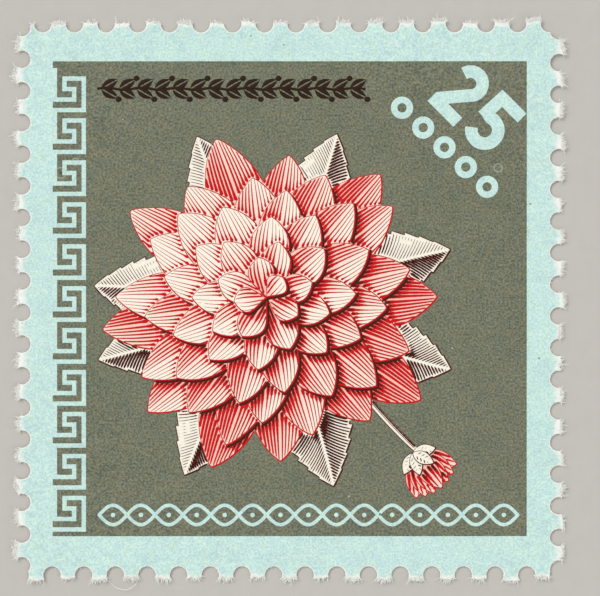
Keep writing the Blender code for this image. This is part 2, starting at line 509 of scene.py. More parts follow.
def leafVeins(leaf, above):  # slanting lines from the midrib, the side away from the light dark
    half, count = leaf["width"] / 2, int(leaf["length"] / leafLines["pitch"])
    c = np.arange(leafLines["ribGap"], half, engraving["step"])
    v = c / half
    starts = np.arange(-leafLines["behindBase"], count)[:, None] / count
    slant = leafLines["slant"] * half / leaf["length"]
    s = starts + slant * v - leafLines["curve"] * slant * v ** 2
    nearBase, nearTip = leafLines["ends"]
    dotEvery = engraving["dotEvery"]
    for side in (-1, 1):
        lit = side * (leaf["across"] @ toLight)
        points = bladePoints(leaf, s, np.broadcast_to(side * c, s.shape)).reshape(-1, 2)
        seen = ~coveredBy(points, above, leafLines["clearance"]).reshape(s.shape)
        seen &= (s > nearBase) & (s < nearTip) & (c < halfWidth(leaf, s) - leafLines["margin"])
        cast = castShade(points, above).reshape(s.shape)
        tone = leafLines["tone"] - leafLines["fold"] * lit + leafLines["rib"] * (1 - 2 * v) + leaf["tone"]
        tone = np.minimum(tone + leafLines["shadow"] * cast, engraving["most"])
        phase = (np.arange(len(c)) + np.arange(len(s))[:, None]) % dotEvery
        dotted = (tone < leafLines["dotsBelow"]) & (phase == dotEvery - 1)
        keep = seen & (tone > leafLines["least"]) & ~dotted
        points = points.reshape(*s.shape, 2)
        width = leafLines["pitch"] * np.maximum(tone, leafLines["finest"])
        for row in range(len(s)):
            layStrokes("brown", points[row], width[row], keep[row])


leafForm = {"from": 3.0, "fullness": 0.95, "tipEase": 0.85, "notches": 11, "notchDepth": 0.13, "rimSteps": 89,
            "tones": (-0.05, 0.08)}
leafPlan = [  # where each points, how far its tip is from the bloom's middle, how wide it is, how it bends
    (-24, 10.9, 4.3, 0.10), (-68, 11.0, 4.4, -0.08), (-121, 11.0, 4.1, 0.09), (171, 10.3, 4.0, 0.07),
    (117, 10.6, 3.8, -0.07), (66, 10.5, 3.9, 0.08), (21, 10.7, 4.0, -0.09), (-160, 10.5, 3.7, -0.06),
]


def bloomLeaves():
    draw, leaves = random.Random(bloom["seed"] + 1), []
    for degrees, reach, width, bend in leafPlan:
        heading = math.radians(degrees)
        ray = np.array([math.cos(heading), math.sin(heading)])
        base = bloomMiddle + leafForm["from"] * ray
        leaves.append(makeBlade(base, heading, reach - leafForm["from"], width, bend, leafForm["fullness"],
                                leafForm["tipEase"], leafForm["notches"], leafForm["notchDepth"],
                                draw.uniform(*leafForm["tones"])))
    return leaves


bud = {
    "place": (7.15, -8.95), "heading": -50, "petals": 7, "spread": 74, "length": 2.5, "width": 1.15,
    "fullness": 1.1, "tipEase": 0.8, "tone": -0.05, "rimSteps": 30, "shadow": 0.5, "contour": 0.8,
    "sepalTurns": (-62, 62, -22, 24), "sepalLength": 1.35, "sepalWidth": 0.72, "sepalFullness": 0.9,
    "sepalBack": 0.12,
}
stemForm = {"from": (4.2, -5.4), "overlap": 0.15, "width": 0.34, "bend": 0.06, "tipEase": 0.12,
            "rimSteps": 24, "linesAt": (0.0, 0.55), "lineWidths": (0.045, 0.10), "contour": 0.7}


def budBlades():  # petals in a tight fan, with short sepals round their foot
    petals, sepals = [], []
    middleOne = (bud["petals"] - 1) / 2
    for number in sorted(range(bud["petals"]), key=lambda n: -abs(n - middleOne)):
        turn = math.radians(bud["heading"] + bud["spread"] * (number / (bud["petals"] - 1) - 0.5))
        petals.append(makeBlade(bud["place"], turn, bud["length"], bud["width"], 0.0, bud["fullness"],
                                bud["tipEase"], tone=bud["tone"]))
    for turn in bud["sepalTurns"]:
        base = np.array(bud["place"]) - bud["sepalBack"] * np.array(direction(bud["heading"]))
        sepals.append(makeBlade(base, math.radians(bud["heading"] + turn), bud["sepalLength"],
                                bud["sepalWidth"], 0.0, bud["sepalFullness"], bud["tipEase"]))
    return petals, sepals


def budStemBlade():
    across, rise = np.array(bud["place"]) - stemForm["from"]
    length = np.linalg.norm([across, rise]) + stemForm["overlap"]
    return makeBlade(stemForm["from"], math.atan2(rise, across), length, stemForm["width"], stemForm["bend"],
                     1.0, stemForm["tipEase"])


def stemLines(stem, above):  # two lines along the dark side
    s = np.arange(0, 1, engraving["step"] / stem["length"])
    darkSide = -np.sign(stem["across"] @ toLight)
    for share, width in zip(stemForm["linesAt"], stemForm["lineWidths"]):
        points = bladePoints(stem, s, darkSide * share * halfWidth(stem, s))
        layStrokes("brown", points, np.full(len(s), width), ~coveredBy(points, above))


def engravePetals(group, over, shadowScale=1.0, contourScale=1.0):
    for number, petal in enumerate(group):
        above = group[number + 1:] + over
        petalLines(petal, above)
        shadowBeside(petal, group[:number], above, shadowScale)
        contourOf(petal, above, "red", contourScale)


def engraveLeaves(group, over, contourScale=1.0, steps=bloom["rimSteps"]):
    for number, leaf in enumerate(group):
        above = over + group[number + 1:]
        leafVeins(leaf, above)
        contourOf(leaf, above, "brown", contourScale, steps)


petals, leaves = bloomPetals(), bloomLeaves()
budPetals, sepals = budBlades()
budStem = budStemBlade()
engravePetals(petals, [])
engraveLeaves(leaves, petals + [budStem] + budPetals + sepals, steps=leafForm["rimSteps"])
engravePetals(budPetals, sepals, bud["shadow"], bud["contour"])
engraveLeaves(sepals, [], bud["contour"])
stemLines(budStem, petals + sepals + budPetals)
contourOf(budStem, petals + sepals + budPetals, "brown", stemForm["contour"])
print("picture:", len(strokes["red"]), "red strokes,", len(strokes["brown"]), "brown,",
      sum(len(points) for points, width in strokes["red"]), "points")

titleSprig = {
    "left": -11.05, "right": 4.40, "height": 12.06, "step": 0.07, "stem": 0.17, "wave": 0.06,
    "firstPair": 0.25, "pairEvery": 1.02, "leafLength": 1.07, "leafWidth": 0.58, "leafBend": -0.08,
    "leafFullness": 0.9, "leafFrom": 0.02, "lean": 34, "leafPoints": 15, "rib": 0.045, "finest": 0.02,
    "berry": 0.18, "berryAt": 0.98, "berryAside": 0.60, "berryPoints": 9, "berryEnds": 0.02,
}


def roundStroke(middle, radius):  # a dot, as a stroke that swells and closes
    along = np.linspace(-1, 1, titleSprig["berryPoints"])
    points = np.array(middle) + np.stack([along * radius, 0 * along], 1)
    swell = np.maximum(1 - along ** 2, titleSprig["berryEnds"])
    strokes["title"].append((points, 2 * radius * np.sqrt(swell)))


def drawTitleSprig():  # a leafy line in solid dark ink
    left, right, height = titleSprig["left"], titleSprig["right"], titleSprig["height"]
    every, rib = titleSprig["pairEvery"], titleSprig["rib"] / 2
    run = np.arange(left, right, titleSprig["step"])
    rise = height + titleSprig["wave"] * np.sin((run - left) * math.pi / every)
    strokes["title"].append((np.stack([run, rise], 1), np.full(len(run), titleSprig["stem"])))
    s = np.linspace(titleSprig["leafFrom"], 1, titleSprig["leafPoints"])
    for number in range(int((right - left) / every)):
        foot = left + titleSprig["firstPair"] + number * every
        for side in (-1, 1):
            turn, bend = math.radians(side * titleSprig["lean"]), side * titleSprig["leafBend"]
            leaf = makeBlade((foot, height), turn, titleSprig["leafLength"], titleSprig["leafWidth"], bend,
                             titleSprig["leafFullness"], titleSprig["leafFullness"])
            half = halfWidth(leaf, s)
            for edge in (-1, 1):
                points = bladePoints(leaf, s, edge * (rib + half) / 2)
                strokes["title"].append((points, np.maximum(half - rib, titleSprig["finest"])))
        aside = titleSprig["berryAside"] * (1 if number % 2 else -1)
        roundStroke((foot + titleSprig["berryAt"], height + aside), titleSprig["berry"])


drawTitleSprig()

# the flat inks: each shape covers the ones before it
misregister = (0.035, -0.025)  # the picture's ground is printed a hair off its lines
groundForm = {"everyDegrees": 0.5, "from": 3.0, "to": 1.15, "step": 0.03}
regions = []


def addRegion(shape, ink):
    shape = np.array(shape, float)
    x, y = shape.T
    turned = np.sum(x * np.roll(y, -1) - y * np.roll(x, -1))
    regions.append((shape if turned > 0 else shape[::-1], ink))


def bloomGround():  # the outline round all the petals, seen from the middle
    angles = np.radians(np.arange(0, 360, groundForm["everyDegrees"]))
    reaches = np.arange(groundForm["from"], bloom["radius"] * groundForm["to"], groundForm["step"])
    rays = np.stack([np.cos(angles), np.sin(angles)], 1)
    spots = bloomMiddle + reaches[None, :, None] * rays[:, None, :]
    covered = coveredBy(spots.reshape(-1, 2), petals).reshape(len(angles), len(reaches))
    last = len(reaches) - 1 - np.argmax(covered[:, ::-1], axis=1)
    return bloomMiddle + reaches[last][:, None] * rays + np.array(misregister)


def layFlatInks():
    wide, tall = fieldSize["halfWidth"], fieldSize["halfHeight"]
    addRegion([(-wide, -tall), (wide, -tall), (wide, tall), (-wide, tall)], "oliveInk")
    rings, ringHoles = cornerRings()
    for shape in leftMeander() + footPlait() + cornerFigures() + rings:
        addRegion(shape, "blueInk")
    for shape in ringHoles:
        addRegion(shape, "oliveInk")
    for leaf in leaves:
        addRegion(bladeRim(leaf, leafForm["rimSteps"]) + misregister, "leafInk")
    addRegion(bladeRim(budStem, stemForm["rimSteps"]) + misregister, "leafInk")
    addRegion(bloomGround(), "creamInk")
    for group, ink in ((budPetals, "creamInk"), (sepals, "leafInk")):
        for blade in group:
            addRegion(bladeRim(blade, bud["rimSteps"]) + misregister, ink)


layFlatInks()
print("flat inks:", len(regions), "shapes")

# the sheet: printed paper with torn teeth, lying almost flat
sheetForm = {
    "gum": 0.012, "paper": 0.088, "cornerLift": (0.13, 0.06, 0.10, 0.04), "liftPower": 2.6, "cockle": 0.010,
    "waves": ((4.1, 1.3, 0.4), (-0.9, 3.3), (2.2, 6.7)), "fineWave": 0.6,  # turns across, up, and the start
    "toothBend": 0.030, "bendFrom": 0.45, "bendOver": 0.7, "bendMost": 1.2, "bendTurns": (-0.5, 1.0),
    "featherWidth": 0.22, "featherTo": 0.40, "featherVaries": (0.55, 0.6), "featherWaves": (23, 19, 2.0),
    "thinFromTop": 0.35, "thinFromFoot": 0.65, "fuzz": 0.010, "fuzzWidth": 0.18,
    "rimRoll": 0.012, "rimWidth": 0.09, "waist": (-0.004, 0.007),
    "whiteAtSides": 0.60, "whiteAtEnds": 0.34, "rimWhite": 0.12,
    "blushMargin": 0.05, "blushFrom": 0.28, "blushOver": 0.55, "seed": 3,
}
sheetMesh = {
    "fineStep": 0.062, "fineZone": 0.38, "rimGap": 0.022, "coarseStep": 0.42, "footStep": 0.42 * 1.5,
    "pictureStep": 0.17, "pictureFrom": (-11.3, -11.6), "pictureTo": (10.3, 10.8),
    "scatter": 0.12, "rowSpacing": 0.866, "rimSpacing": 0.02, "zoneSpacing": 0.03, "farOff": 9.0,
    "toothDepth": 1.0, "edgeDepth": 1.35, "rimDepth": 2.2,  # how far in from the sheet's box each matters
}
grain = np.random.default_rng(sheetForm["seed"])
halfSheet = outline.max(0)


def rawLift(points):  # corners stand up a little, the rest waves faintly, broad waves and finer ones
    u, v = (points / halfSheet).T
    lift = np.zeros(len(points))
    for (signU, signV), height in zip(((1, 1), (-1, 1), (-1, -1), (1, -1)), sheetForm["cornerLift"]):
        lift += height * np.clip((signU * u + signV * v) / 2, 0, None) ** sheetForm["liftPower"]
    (broadU, broadV, start), (crossU, crossV), (fineU, fineV) = sheetForm["waves"]
    wave = np.sin(u * broadU + broadV * v + start) * np.cos(v * crossV + crossU * u)
    return lift + sheetForm["cockle"] * (wave + sheetForm["fineWave"] * np.sin(v * fineV + u * fineU))


evenly = np.linspace(-1, 1, 60)
lowestLift = rawLift(np.stack(np.meshgrid(evenly, evenly), -1).reshape(-1, 2) * halfSheet).min()


def treeOf(points):
    tree = KDTree(len(points))
    for number, point in enumerate(points):
        tree.insert((point[0], point[1], 0), number)
    tree.balance()
    return tree


toothDraw = random.Random(sheetForm["seed"])
toothTree = treeOf([np.array((tooth["start"] + tooth["end"]) / 2) - rowsMiddle for tooth in teeth])
toothTurns = [(direction(tooth["outward"]), tooth["rowDistance"], toothDraw.uniform(*sheetForm["bendTurns"]))
              for tooth in teeth]


def nearEdge(points, depth):
    return (np.abs(points) > halfSheet - depth).any(axis=1)


def liftAt(points):  # how far the underside stands off the table
    lift = rawLift(points) - lowestLift
    for index in np.flatnonzero(nearEdge(points, sheetMesh["toothDepth"])):
        x, y = points[index]
        outward, rowDistance, turn = toothTurns[toothTree.find((x, y, 0))[1]]
        beyond = (x + rowsMiddle[0]) * outward.x + (y + rowsMiddle[1]) * outward.y - rowDistance
        share = min((beyond + sheetForm["bendFrom"]) / sheetForm["bendOver"], sheetForm["bendMost"])
        lift[index] += sheetForm["toothBend"] * turn * max(0.0, share) ** 2
    return np.maximum(lift, 0.0)


def printHeight(points):
    return liftAt(points) + sheetForm["gum"] + sheetForm["paper"]


def denseRim(rim, marks, wanted, spacing=sheetMesh["rimSpacing"]):
    found = []
    for index in range(len(rim)):
        after = (index + 1) % len(rim)
        if (marks[index] or marks[after]) == wanted:
            start, end = rim[index], rim[after]
            parts = max(1, int(np.linalg.norm(end - start) / spacing))
            found += [start + (end - start) * part / parts for part in range(parts)]
    return treeOf(found)


def distancesTo(tree, points, most):
    result = np.full(len(points), most, float)
    for index in np.flatnonzero(nearEdge(points, sheetMesh["rimDepth"])):
        x, y = points[index]
        result[index] = min(most, tree.find((x, y, 0))[2])
    return result


def spread(low, high, step):  # points in staggered rows, each a little off its place
    rows = np.arange(low[1], high[1], step * sheetMesh["rowSpacing"])
    x, y = np.meshgrid(np.arange(low[0], high[0], step), rows)
    x = x + (np.arange(len(rows)) % 2)[:, None] * step / 2
    points = np.stack([x.ravel(), y.ravel()], 1)
    return points + grain.uniform(-sheetMesh["scatter"], sheetMesh["scatter"], points.shape) * step


def triangulate(rim, shapes, extras):
    places = [Vector(p) for p in rim]
    faces = [list(range(len(rim)))]
    for shape in shapes:
        faces.append(list(range(len(places), len(places) + len(shape))))
        places += [Vector(p) for p in shape]
    places += [Vector(p) for p in extras]
    flat, _, triangles, fromPoints, _, fromFaces = delaunay_2d_cdt(places, [], faces, 1, 1e-6, True)
    onRim = [0] * len(rim)
    for index, sources in enumerate(fromPoints):
        for source in sources:
            if source < len(rim):
                onRim[source] = index
    kept = [number for number, sources in enumerate(fromFaces) if sources]
    owners = [max(fromFaces[number]) for number in kept]
    used, corners = np.unique(np.array([triangles[number] for number in kept]), return_inverse=True)
    flat = np.array([tuple(p) for p in flat])[used]
    return flat, corners.reshape(-1, 3), np.searchsorted(used, onRim), owners


def outwardOf(rim):
    return -leftOf(unitRows(np.roll(rim, -1, axis=0) - np.roll(rim, 1, axis=0)))


bakeLayout = {"width": 34.0, "hiddenShare": 0.03}


def meshPiece(name, points, faces, materials, slots=None, attributes=None, hidden=None, smooth=True):
    mesh = bpy.data.meshes.new(name)
    mesh.from_pydata((np.asarray(points) * mm).tolist(), [], [list(map(int, f)) for f in faces])
    piece = addObject(name, mesh)
    for material in materials:
        mesh.materials.append(material)
    if slots is not None:
        mesh.polygons.foreach_set("material_index", np.array(slots, np.int32))
    for label, values in (attributes or {}).items():
        measure = mesh.attributes.new(label, "FLOAT", "POINT")
        measure.data.foreach_set("value", np.asarray(values, np.float32))
    mesh.polygons.foreach_set("use_smooth", np.full(len(mesh.polygons), smooth))
    laidFlat = mesh.uv_layers.new(name="OFBake")  # the print seen from above: colours keep their places
    corners = np.zeros(len(mesh.loops), np.int32)
    mesh.loops.foreach_get("vertex_index", corners)
    places = np.asarray(points)[corners][:, :2] / bakeLayout["width"] + 0.5
    if hidden is not None:  # faces that meet another layer share a small spot in the corner
        sizes = np.zeros(len(mesh.polygons), np.int32)
        mesh.polygons.foreach_get("loop_total", sizes)
        places[np.repeat(hidden, sizes)] *= bakeLayout["hiddenShare"]
    laidFlat.data.foreach_set("uv", places.astype(np.float32).ravel())
    mesh.update()
    print(name, "has", len(mesh.polygons), "faces")
    return piece


def closedSlab(name, rim, marks, materials, shapes, extras, heightTop, heightFoot, slotOf, measure,
               footShows=False):
    topFlat, topFaces, topRim, owners = triangulate(rim, shapes, extras)
    footExtras = spread(rim.min(0), rim.max(0), sheetMesh["footStep"])
    footFlat, footFaces, footRim, _ = triangulate(rim, [], footExtras)
    count = len(rim)
    tornTree, punchedTree = denseRim(rim, marks, True), denseRim(rim, marks, False)
    waist = rim + outwardOf(rim) * grain.uniform(*sheetForm["waist"], count)[:, None]
    layers = []
    for flat, height in ((topFlat, heightTop), (footFlat, heightFoot)):
        torn, punched = distancesTo(tornTree, flat, 1.0), distancesTo(punchedTree, flat, 1.0)
        layers.append((np.column_stack([flat, height(flat, torn, punched)]), torn, punched))
    top, foot = layers[0][0], layers[1][0]
    waistHeight = (top[topRim, 2] + foot[footRim, 2]) / 2
    points = np.vstack([top, foot, np.column_stack([waist, waistHeight])])
    footStart, waistStart = len(top), len(top) + len(foot)
    faces = list(topFaces) + [[footStart + corner for corner in face[::-1]] for face in footFaces]
    for index in range(count):
        after = (index + 1) % count
        here, there = waistStart + index, waistStart + after
        faces.append((here, there, topRim[after], topRim[index]))
        faces.append((footStart + footRim[index], footStart + footRim[after], there, here))
    slots = [slotOf(owner) for owner in owners] + [slotOf(-1)] * (len(footFaces) + 2 * count)
    hidden = [footShows] * len(topFaces) + [not footShows] * len(footFaces) + [False] * (2 * count)
    torn = np.concatenate([layers[0][1], layers[1][1], np.where(marks, 0.0, 1.0)])
    punched = np.concatenate([layers[0][2], layers[1][2], np.where(marks, 1.0, 0.0)])
    return meshPiece(name, points, faces, materials, slots, measure(points, torn, punched), np.array(hidden))


def thinnedBy(points, torn):  # 0 is the full thickness, more toward a torn tip
    across, up, sway = sheetForm["featherWaves"]
    ragged = 0.5 + 0.5 * np.sin(points[:, 0] * across + sway * np.sin(points[:, 1] * up))
    least, more = sheetForm["featherVaries"]
    reach = np.clip(torn / (sheetForm["featherWidth"] * (least + more * ragged)), 0, 1)
    return 1 - (sheetForm["featherTo"] + (1 - sheetForm["featherTo"]) * reach * reach * (3 - 2 * reach))


def fuzzAt(torn, swing):
    loose = np.clip(1 - torn / sheetForm["fuzzWidth"], 0, 1)
    return loose * grain.uniform(-swing, swing, len(torn)) * sheetForm["fuzz"]


def sheetTop(flat, torn, punched):
    height = printHeight(flat) - sheetForm["thinFromTop"] * sheetForm["paper"] * thinnedBy(flat, torn)
    height -= sheetForm["rimRoll"] * np.clip(1 - punched / sheetForm["rimWidth"], 0, 1) ** 2
    return height + fuzzAt(torn, 1)


def sheetFoot(flat, torn, punched):
    height = liftAt(flat) + sheetForm["gum"]
    height += sheetForm["thinFromFoot"] * sheetForm["paper"] * thinnedBy(flat, torn)
    return height + fuzzAt(torn, 0.5)


def blushAt(points):  # pink between the lines where they are dense, cream where they thin out
    places = points - fieldMiddle
    blush = np.zeros(len(points))
    for group in (petals, budPetals):
        for number, petal in enumerate(group):
            inside = np.flatnonzero(insideBlade(petal, places, sheetForm["blushMargin"]))
            if len(inside):
                here = places[inside]
                tone = petalTone(petal, here, *bladePlace(petal, here))
                tone += engraving["shadow"] * castShade(here, group[number + 1:])
                blush[inside] = np.clip((tone - sheetForm["blushFrom"]) / sheetForm["blushOver"], 0, 1)
    return blush


def sheetMeasures(points, torn, punched):
    towardEnd = np.abs(points[:, 1]) / halfSheet[1] > np.abs(points[:, 0]) / halfSheet[0]
    width = np.where(towardEnd, sheetForm["whiteAtEnds"], sheetForm["whiteAtSides"])
    return {"tear": np.clip(1 - torn / width, 0, 1),
            "rim": np.clip(1 - punched / sheetForm["rimWhite"], 0, 1), "blush": blushAt(points[:, :2])}


def edgeSpread(rim):  # fine points only beside the rim, coarse ones within, finer under the picture
    tree, farOff = denseRim(rim, np.ones(len(rim), bool), True, sheetMesh["zoneSpacing"]), sheetMesh["farOff"]
    fine = spread(rim.min(0), rim.max(0), sheetMesh["fineStep"])
    fine = fine[nearEdge(fine, sheetMesh["edgeDepth"])]
    away = distancesTo(tree, fine, farOff)
    fine = fine[(away > sheetMesh["rimGap"]) & (away < sheetMesh["fineZone"])]
    coarse = spread(rim.min(0), rim.max(0), sheetMesh["coarseStep"])
    coarse = coarse[distancesTo(tree, coarse, farOff) > sheetMesh["fineZone"]]
    low, high = (fieldMiddle + np.array(sheetMesh[corner]) for corner in ("pictureFrom", "pictureTo"))
    return np.vstack([fine, coarse, spread(low, high, sheetMesh["pictureStep"])])


# materials
def linear(colour):
    parts = [c / 255 / 12.92 if c <= 10 else ((c / 255 + 0.055) / 1.055) ** 2.4 for c in colour]
    return (*parts, 1.0)


def fillInputs(node, inputs):  # each with a value, or with the socket that feeds it
    for name, value in inputs.items():
        if isinstance(value, bpy.types.NodeSocket):
            node.id_data.links.new(value, node.inputs[name])
        else:
            node.inputs[name].default_value = value


def addNode(tree, kind, inputs=None, **settings):
    node = tree.nodes.new(kind)
    for name, value in settings.items():
        setattr(node, name, value)
    fillInputs(node, inputs or {})
    return node


def calculate(tree, operation, first, second=0.0, third=0.0, clamp=False):
    return addNode(tree, "ShaderNodeMath", {0: first, 1: second, 2: third}, operation=operation,
                   use_clamp=clamp).outputs[0]


def swing(tree, value, size, middle=0.5):  # how far a value stands from its middle, times a size
    return calculate(tree, "MULTIPLY", calculate(tree, "SUBTRACT", value, middle), size)


def varied(tree, mask, middle, size):  # a value that goes half the size either way with the mask
    return calculate(tree, "MULTIPLY_ADD", mask, size, middle - size / 2)


def stepUp(tree, value, start, end):  # 0 below start, 1 above end
    return addNode(tree, "ShaderNodeMapRange", {"Value": value, "From Min": start, "From Max": end},
                   interpolation_type="SMOOTHSTEP").outputs[0]


def mixColours(tree, share, first, second, blend="MIX"):  # colours that are numbers run from 0 to 255
    first, second = (linear(c) if isinstance(c, (tuple, list)) else c for c in (first, second))
    node = addNode(tree, "ShaderNodeMix", {0: share, 6: first, 7: second}, data_type="RGBA", blend_type=blend)
    return node.outputs[2]


def objectPlace(tree):
    return addNode(tree, "ShaderNodeTexCoord").outputs["Object"]


def mapped(tree, place, turn, scale=(1.0, 1.0, 1.0)):
    values = {"Vector": place, "Rotation": (0, 0, turn), "Scale": scale}
    return addNode(tree, "ShaderNodeMapping", values).outputs[0]


def noise(tree, place, scale, detail, roughness=0.5, distortion=0.0):
    return addNode(tree, "ShaderNodeTexNoise", {"Vector": place, "Scale": scale, "Detail": detail,
                                                "Roughness": roughness, "Distortion": distortion}).outputs[0]


def measured(tree, name):
    return addNode(tree, "ShaderNodeAttribute", attribute_name=name).outputs["Fac"]


def newGroup(name, inputs, outputs):  # sockets as name: start value
    group = bpy.data.node_groups.new(name, "ShaderNodeTree")
    for label, start in inputs.items():
        socket = group.interface.new_socket(name=label, in_out="INPUT", socket_type="NodeSocketFloat")
        socket.default_value = start
    for label in outputs:
        group.interface.new_socket(name=label, in_out="OUTPUT", socket_type="NodeSocketFloat")
    return group, group.nodes.new("NodeGroupInput").outputs, group.nodes.new("NodeGroupOutput").inputs


def placeGroup(tree, group, values=None):
    return addNode(tree, "ShaderNodeGroup", values, node_tree=group).outputs


toothNoises = {  # scale for a fineness of 1, detail, roughness, and the range that is drawn out to 0 to 1
    "Grain": (1.0, 5.0, 0.62, (0.30, 0.70)), "Mottle": (0.07, 3.0, 0.55, (0.34, 0.66)),
    "Drift": (0.27, 2.0, 0.5, (0.30, 0.70)),
}
strandForm = {"turn": 0.6, "stretch": 4.5, "scale": 0.35, "detail": 3.0, "distortion": 0.6}


def paperTooth():  # the felted surface of the sheet: height, fine grain, and two slower mottlings
    group, given, wanted = newGroup("paperTooth", {"Fineness": 9000.0, "Fibres": 0.45},
                                    ("Height", *toothNoises))
    place, made = objectPlace(group), {}
    for label, (share, detail, roughness, span) in toothNoises.items():
        scale = calculate(group, "MULTIPLY", given["Fineness"], share)
        made[label] = noise(group, place, scale, detail, roughness)
        group.links.new(stepUp(group, made[label], *span), wanted[label])
    along = mapped(group, place, strandForm["turn"], (1.0, strandForm["stretch"], 1.0))
    scale = calculate(group, "MULTIPLY", given["Fineness"], strandForm["scale"])
    strands = noise(group, along, scale, strandForm["detail"], distortion=strandForm["distortion"])
    strandPart = calculate(group, "MULTIPLY", strands, given["Fibres"])
    finePart = calculate(group, "MULTIPLY", made["Grain"], calculate(group, "SUBTRACT", 1.0, given["Fibres"]))
    group.links.new(calculate(group, "ADD", strandPart, finePart), wanted["Height"])
    return group


tearLook = {"ragged": (5200.0, 6.0, 0.75), "raggedSize": 1.5, "uneven": (620.0, 1.0), "unevenSize": 1.3,
            "keenness": 4.0, "tearSteps": (-0.08, 0.74), "rimSteps": (0.0, 0.30)}


def tornEdge():  # white paper showing where a tooth was torn and along the rim of a hole
    group, given, wanted = newGroup("tornEdge", {"Tear From": 0.24, "Rim From": 0.45}, ("White",))
    place = objectPlace(group)
    ragged = swing(group, noise(group, place, *tearLook["ragged"]), tearLook["raggedSize"])
    uneven = swing(group, noise(group, place, *tearLook["uneven"]), tearLook["unevenSize"])
    shown = []
    for label, change in (("tear", calculate(group, "ADD", ragged, uneven)), ("rim", ragged)):
        near = measured(group, label)
        keen = calculate(group, "MULTIPLY", near, tearLook["keenness"], clamp=True)
        level = calculate(group, "ADD", near, calculate(group, "MULTIPLY", change, keen))
        past = calculate(group, "SUBTRACT", level, given[label.title() + " From"])
        shown.append(stepUp(group, past, *tearLook[label + "Steps"]))
    group.links.new(calculate(group, "MAXIMUM", *shown), wanted["White"])
    return group


flaws = {  # small faults of the printing, in millimetres from the middle of the field: place and size
    "Dark": [((-13.16, 7.23), 0.10), ((-2.23, 15.11), 0.05), ((-0.33, 14.59), 0.05), ((14.33, -3.41), 0.06),
             ((13.82, 5.45), 0.06), ((5.19, -12.38), 0.08)],
    "Pale": [((9.33, -2.83), 0.05), ((3.4, -11.35), 0.05), ((-9.6, 10.3), 0.04)],
    "Ring": [((-13.16, 7.23), 0.30), ((11.97, 7.52), 0.23), ((-12.30, 7.87), 0.20)],
    "Red": [((10.13, 6.60), 0.07), ((10.45, 6.35), 0.05), ((9.9, 6.9), 0.04), ((-11.0, 9.9), 0.04)],
}
flawLooks = [("Ring", 0.45, (196, 206, 190)), ("Pale", 0.6, (214, 222, 208)), ("Dark", 0.75, (44, 52, 50)),
             ("Red", 0.5, (168, 92, 78))]
flawEdges = {"spot": (0.5, 1.3), "ring": (0.3, 1.6)}


def printFlaws():
    group, given, wanted = newGroup("printFlaws", {"Ring Width": 0.035}, tuple(flaws))
    onPlane = {0: objectPlace(group), 1: (1.0, 1.0, 0.0)}
    flat = addNode(group, "ShaderNodeVectorMath", onPlane, operation="MULTIPLY").outputs[0]
    for label, spots in flaws.items():
        total = 0.0
        for (x, y), size in spots:
            spot = ((x + fieldMiddle[0]) * mm, (y + fieldMiddle[1]) * mm, 0.0)
            away = addNode(group, "ShaderNodeVectorMath", {0: flat, 1: spot}, operation="DISTANCE")
            away = calculate(group, "MULTIPLY", away.outputs["Value"], 1 / mm)
            if label == "Ring":
                away = calculate(group, "ABSOLUTE", calculate(group, "SUBTRACT", away, size))
                away = calculate(group, "DIVIDE", away, given["Ring Width"])
                past = stepUp(group, away, *flawEdges["ring"])
            else:
                inner, outer = flawEdges["spot"]
                past = stepUp(group, away, size * inner, size * outer)
            total = calculate(group, "MAXIMUM", calculate(group, "SUBTRACT", 1.0, past), total)
        group.links.new(total, wanted[label])
    return group


surfaceGroup, tearGroup, flawGroup = paperTooth(), tornEdge(), printFlaws()


def startMaterial(name):
    material = bpy.data.materials.new(name)
    material.use_nodes = True
    return material, material.node_tree


def paperSurface(tree, look):
    return placeGroup(tree, surfaceGroup, {"Fineness": look["fineness"], "Fibres": look["fibres"]})


def addFinish(tree, look, colour, rough, height=None):
    values = {"Base Color": colour, "Roughness": rough, "Specular IOR Level": look["gloss"]}
    if height is not None:
        relief = {"Height": height, "Distance": look["relief"] * mm}
        values["Normal"] = addNode(tree, "ShaderNodeBump", relief).outputs[0]
    fillInputs(tree.nodes["Principled BSDF"], values)


flatInks = {
    "barePaper": {"tint": (248, 248, 244), "other": (240, 241, 236), "warm": (246, 244, 236),
                  "grain": 0.06, "cloud": 0.03, "roughness": 0.92},
    "blueInk": {"tint": (198, 230, 228), "other": (201, 234, 232), "warm": (204, 234, 224),
                "grain": 0.15, "cloud": 0.055, "roughness": 0.66},
    "oliveInk": {"tint": (111, 118, 100), "other": (116, 121, 103), "warm": (117, 118, 96),
                 "grain": 0.46, "cloud": 0.11, "roughness": 0.60},
    "creamInk": {"tint": (255, 250, 237), "other": (254, 247, 232), "warm": (255, 247, 229),
                 "grain": 0.04, "cloud": 0.02, "roughness": 0.66},
    "leafInk": {"tint": (254, 249, 235), "other": (250, 246, 234), "warm": (252, 246, 228),
                "grain": 0.05, "cloud": 0.02, "roughness": 0.66},
}
paperLook = {"fineness": 8500.0, "fibres": 0.45, "relief": 0.006, "gloss": 0.30, "roughSwing": 0.10,
             "tornRoughness": 0.94, "blush": (254, 192, 178), "white": (250, 250, 246), "cloudMiddle": 0.75}


